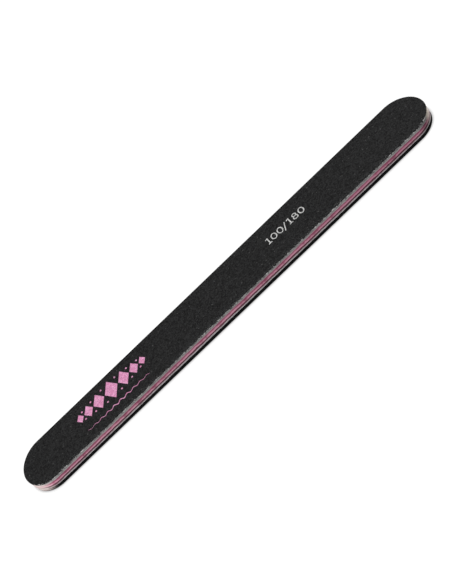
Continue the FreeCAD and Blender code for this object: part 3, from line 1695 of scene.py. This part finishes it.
@dataclass(frozen=True)
class Lamp:
    """A square soft lamp that faces the board.

    Attributes:
        name: Name of the lamp.
        place: Where it hangs, in metres.
        size: Length of its side, in metres.
        power: Its power in watts.
    """

    name: str
    place: Triple
    size: float
    power: float

    def build(self) -> None:
        """Hangs the lamp in the scene."""
        data = bpy.data.lights.new(self.name, "AREA")
        data.shape = "SQUARE"
        data.size = self.size
        data.energy = self.power
        lamp = bpy.data.objects.new(self.name, data)
        lamp.location = self.place
        lamp.rotation_euler = (-Vector(self.place)).to_track_quat("-Z", "Y").to_euler()
        bpy.context.scene.collection.objects.link(lamp)


@dataclass
class Studio:
    """Floor, soft lights, world and camera.

    Attributes:
        elevation: Height of the view above the floor, in degrees.
        azimuth: Turn of the view round the board, in degrees.
        roll: Turn of the camera about its own axis, in degrees.
        distance: Distance from the camera to the point that it looks at.
        target: That point.
        lens: Focal length for a sensor 36 mm along the image's longer side.
        nudge: How far the camera moves up and to the left in its own frame.
        lamps: One lamp overhead, one low on the left and one low on the right, set further back.
        fill: Strength of the even light all round.
        floor: The table top.
        floor_size: Half the length of its side, in metres.
        floor_gap: How far it lies under the board's lowest face.
    """

    elevation: float = 41.50
    azimuth: float = 0.81
    roll: float = -44.37
    distance: float = 364.0 * MM
    target: Vector = field(default_factory=lambda: Vector((0.14, 2.58, 0.2)) * MM)
    lens: float = 68.13
    nudge: float = 0.115 * MM
    lamps: tuple[Lamp, ...] = (
        Lamp("overhead", (0.0, 0.25, 1.9), 1.6, 8.7),
        Lamp("left_side", (-1.78, -0.67, 0.5), 0.9, 56.0),
        Lamp("right_side", (1.72, 0.8, 0.5), 0.9, 45.0),
    )
    fill: float = 0.12
    floor: FloorFinish = FloorFinish("table_top", (0.22, 0.22, 0.22), (0.88, 0.88, 0.88))
    floor_size: float = 4.0
    floor_gap: float = 0.02 * MM

    def build(self) -> None:
        """Sets the stage, the lights, the world and the camera."""
        self._floor()
        for lamp in self.lamps:
            lamp.build()
        self._world()
        self._camera()
        bpy.context.scene.view_settings.view_transform = "Standard"

    def _floor(self) -> None:
        """A wide white table top just under the board."""
        mesh = bmesh.new()
        bmesh.ops.create_grid(mesh, x_segments=2, y_segments=2, size=self.floor_size)
        bmesh.ops.translate(mesh, verts=mesh.verts, vec=(0, 0, -self.floor_gap))
        data = bpy.data.meshes.new("floor")
        mesh.to_mesh(data)
        mesh.free()
        data.materials.append(self.floor.make())
        floor = bpy.data.objects.new("floor", data)
        bpy.context.scene.collection.objects.link(floor)

    def _world(self) -> None:
        """Even pale light all round, which the camera sees as white."""
        world = bpy.data.worlds.new("studio")
        world.use_nodes = True
        bpy.context.scene.world = world
        graph = Graph(world.node_tree)
        fill = graph.node("ShaderNodeBackground", sockets={"Color": (1, 1, 1, 1), "Strength": self.fill})
        white = graph.node("ShaderNodeBackground", sockets={"Color": (1, 1, 1, 1), "Strength": 1.0})
        shown = graph.node("ShaderNodeMixShader", sockets={0: seen_ray(graph), 1: fill, 2: white})
        graph.node("ShaderNodeOutputWorld", sockets={"Surface": shown})

    def _camera(self) -> None:
        """The camera, turned about its own axis as in the photograph."""
        data = bpy.data.cameras.new("camera")
        data.lens = self.lens
        data.sensor_width = 36.0
        data.clip_start = 0.01
        camera = bpy.data.objects.new("camera", data)
        tilt = Matrix.Rotation(math.radians(90 - self.elevation), 4, "X")
        turn = Matrix.Rotation(math.radians(self.azimuth), 4, "Z") @ tilt
        rolled = turn @ Matrix.Rotation(math.radians(self.roll), 4, "Z")
        back = rolled @ Vector((0, 0, self.distance))
        aside = rolled @ Vector((-self.nudge, self.nudge, 0))
        camera.matrix_world = Matrix.Translation(self.target + back + aside) @ rolled
        bpy.context.scene.collection.objects.link(camera)
        bpy.context.scene.camera = camera


@dataclass
class EmeryBoard:
    """The whole board, from the coarse face to the print on the fine face.

    Attributes:
        outline: The outline that all the sheets follow.
        fine_grit: Finish of the upper working face.
        coarse_grit: Finish of the lower working face.
    """

    outline: Outline = field(default_factory=lambda: Outline.of_node("plastic_core"))
    fine_grit: GritFinish = GritFinish(
        "fine_grit_grains",
        grain_mm=0.12,
        resin=(0.003, 0.003, 0.003),
        grain=(0.0285, 0.0285, 0.029),
        glint=(0.075, 0.075, 0.075),
        glint_share=0.01,
        relief_mm=0.035,
        dust_share=0.1,
    )
    coarse_grit: GritFinish = GritFinish(
        "coarse_grit_grains",
        grain_mm=0.2,
        resin=(0.003, 0.003, 0.003),
        grain=(0.016, 0.016, 0.017),
        glint=(0.12, 0.12, 0.125),
        glint_share=0.015,
        relief_mm=0.07,
    )

    def build(self) -> None:
        """Builds every piece from the lower face upwards."""
        self.build_coarse_side()
        self.build_core()
        self.build_fine_side()
        self.dress_glue()

    def build_coarse_side(self) -> None:
        """Builds the coarse grit coat with its grains, its paper and its foam pad."""
        coat = GritCoat(
            "coarse_grit_coat",
            "coarse_grit",
            self.coarse_grit,
            self.outline,
            spacing=0.3 * MM,
            seed=3.0,
            facing=Facing.DOWN,
            margin=0.012 * MM,
            chip=0.03 * MM,
            relief=0.12 * MM,
            pitch=0.3 * MM,
        )
        surface = Surface(coat.build(), Facing.DOWN)
        LooseGrains(coat, surface, 3000, (0.09 * MM, 0.16 * MM), self.coarse_grit).build()
        paper = PaperFinish(
            "black_backing_paper",
            pulp=(0.009, 0.009, 0.0095),
            shade=(0.004, 0.004, 0.004),
            fibre=(0.035, 0.034, 0.034),
            fibre_share=0.1,
            dust_and_glare=TipDustAndGlare(left=0.85),
        )
        BackingPaper(
            "coarse_backing_paper",
            "coarse_paper",
            paper,
            self.outline,
            seed=5.0,
            fray=0.035 * MM,
            lean=0.02 * MM,
        ).build()
        foam = FoamFinish(
            "coarse_foam",
            wall=(0.57, 0.53, 0.54),
            pit=(0.15, 0.135, 0.14),
            cell_mm=0.17,
            # The maroon band paints the shade in the glue groove under the core, with glue soaked in; the
            # black band paints the shade in the foam's dished foot, with black smear from the paper.
            stains_and_shade=(
                StainAndShade((0.13, 0.03, 0.052), start_mm=1.6, full_mm=2.08, wander_mm=0.8),
                StainAndShade((0.012, 0.012, 0.012), start_mm=1.54, full_mm=1.34, wander_mm=0.45),
            ),
            dust_and_glare=TipDustAndGlare(left=0.8, right=0.15),
        )
        FoamPad("coarse_foam_pad", "foam", foam, self.outline, seed=7.0).build()

    def build_core(self) -> None:
        """Builds the pink plastic core."""
        low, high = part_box("plastic_core")
        finish = CoreFinish(
            "pink_plastic",
            pale=(0.71, 0.345, 0.45),
            deep=(0.41, 0.135, 0.215),
            streak=(0.24, 0.06, 0.105),
            low_mm=low.z / MM,
            high_mm=high.z / MM,
            dust_and_glare=TipDustAndGlare(left=0.8, right=0.85),
        )
        PlasticCore("plastic_core", "core_plastic", finish, self.outline, seed=11.0).build()

    def build_fine_side(self) -> None:
        """Builds the fine foam pad, paper, grit coat, torn edge and print."""
        foam = FoamFinish(
            "fine_foam",
            wall=(0.41, 0.39, 0.39),
            pit=(0.16, 0.147, 0.152),
            cell_mm=0.17,
            # The deep pink band paints the shade under the torn lip, with pink glue soaked in.
            stains_and_shade=(StainAndShade((0.4, 0.15, 0.22), start_mm=3.98, full_mm=3.7, wander_mm=0.8),),
            dust_and_glare=TipDustAndGlare(left=0.8, right=0.95),
        )
        FoamPad("fine_foam_pad", "foam", foam, self.outline, seed=13.0).build()
        paper = PaperFinish(
            "torn_grey_paper",
            pulp=(0.27, 0.27, 0.265),
            shade=(0.06, 0.06, 0.06),
            fibre=(0.6, 0.6, 0.59),
            fibre_share=0.2,
            skin=(0.03, 0.03, 0.03),
            dust_and_glare=TipDustAndGlare(right=1.0),
        )
        BackingPaper(
            "fine_backing_paper",
            "fine_paper",
            paper,
            self.outline,
            spacing=0.16 * MM,
            seed=17.0,
            fray=0.07 * MM,
            roll=0.12 * MM,
        ).build()
        coat = GritCoat(
            "fine_grit_coat",
            "fine_grit",
            self.fine_grit,
            self.outline,
            spacing=0.24 * MM,
            seed=19.0,
            margin=0.02 * MM,
            chip=0.5 * MM,
            relief=0.06 * MM,
            pitch=0.24 * MM,
        )
        surface = Surface(coat.build(), Facing.UP)
        LooseGrains(coat, surface, 4500, (0.05 * MM, 0.1 * MM), self.fine_grit).build()
        self.build_lip()
        self.build_print(surface)

    def build_lip(self) -> None:
        """Builds the flakes and fibres along the torn upper edge."""
        low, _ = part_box("fine_backing_paper")
        _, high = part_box("fine_grit_coat")
        pale = PaperFinish(
            "torn_paper_flakes",
            pulp=(0.5, 0.495, 0.495),
            shade=(0.22, 0.215, 0.215),
            fibre=(0.72, 0.72, 0.71),
            fibre_share=0.3,
        )
        fibre = PaperFinish(
            "paper_fibre",
            pulp=(0.5, 0.5, 0.49),
            shade=(0.28, 0.275, 0.275),
            fibre=(0.72, 0.72, 0.71),
            fibre_share=0.3,
        )
        TornLip(self.outline, low.z, high.z - 0.06 * MM, 1500, 1400, pale, fibre).build()

    def build_print(self, surface: Surface) -> None:
        """Prints the grit numbers and the ornament on the fine face.

        Args:
            surface: The fine working face.
        """
        white = InkFinish(
            "white_ink",
            ink=(0.76, 0.76, 0.75),
            thin_ink=(0.56, 0.56, 0.55),
            grit=(0.03, 0.03, 0.03),
            grain_mm=0.13,
            worn=0.14,
        )
        GritNumbers("grit_numbers", surface, white).build()
        pink = InkFinish(
            "pink_ink",
            ink=(0.87, 0.42, 0.66),
            thin_ink=(0.7, 0.27, 0.47),
            grit=(0.05, 0.03, 0.04),
            grain_mm=0.13,
            worn=0.12,
        )
        PinkOrnament("pink_ornament", surface, pink).build()

    def dress_glue(self) -> None:
        """Gives the glue films, whose CAD shape is right as it is, their own look."""
        # The near-black maroon of the coarse core glue and the deep pink of the fine core glue also paint
        # the shade in the recessed grooves that they line.
        films = {
            "coarse_core_glue": GlueFinish(
                "dark_core_glue", (0.05, 0.01, 0.018), (0.11, 0.026, 0.045), TipDustAndGlare(0.7, 0.25)
            ),
            "fine_core_glue": GlueFinish(
                "pink_core_glue", (0.2, 0.045, 0.08), (0.36, 0.1, 0.16), TipDustAndGlare(0.7, 0.7)
            ),
            "coarse_paper_glue": GlueFinish(
                "black_paper_glue", (0.006, 0.006, 0.006), (0.02, 0.019, 0.019), TipDustAndGlare(0.7, 0.0)
            ),
            "fine_paper_glue": GlueFinish(
                "grey_paper_glue", (0.16, 0.155, 0.155), (0.3, 0.29, 0.29), TipDustAndGlare(0.5, 0.9)
            ),
        }
        for node, finish in films.items():
            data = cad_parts[node].data
            data.materials.clear()
            data.materials.append(finish.make())
            LOG.info("%s: CAD shape kept, dressed as %s", node, finish.name)


def main() -> None:
    """Builds the board and its studio."""
    logging.basicConfig(level=logging.INFO, format="%(name)s: %(message)s")
    EmeryBoard().build()
    Studio().build()


if __name__ == "__main__":
    main()
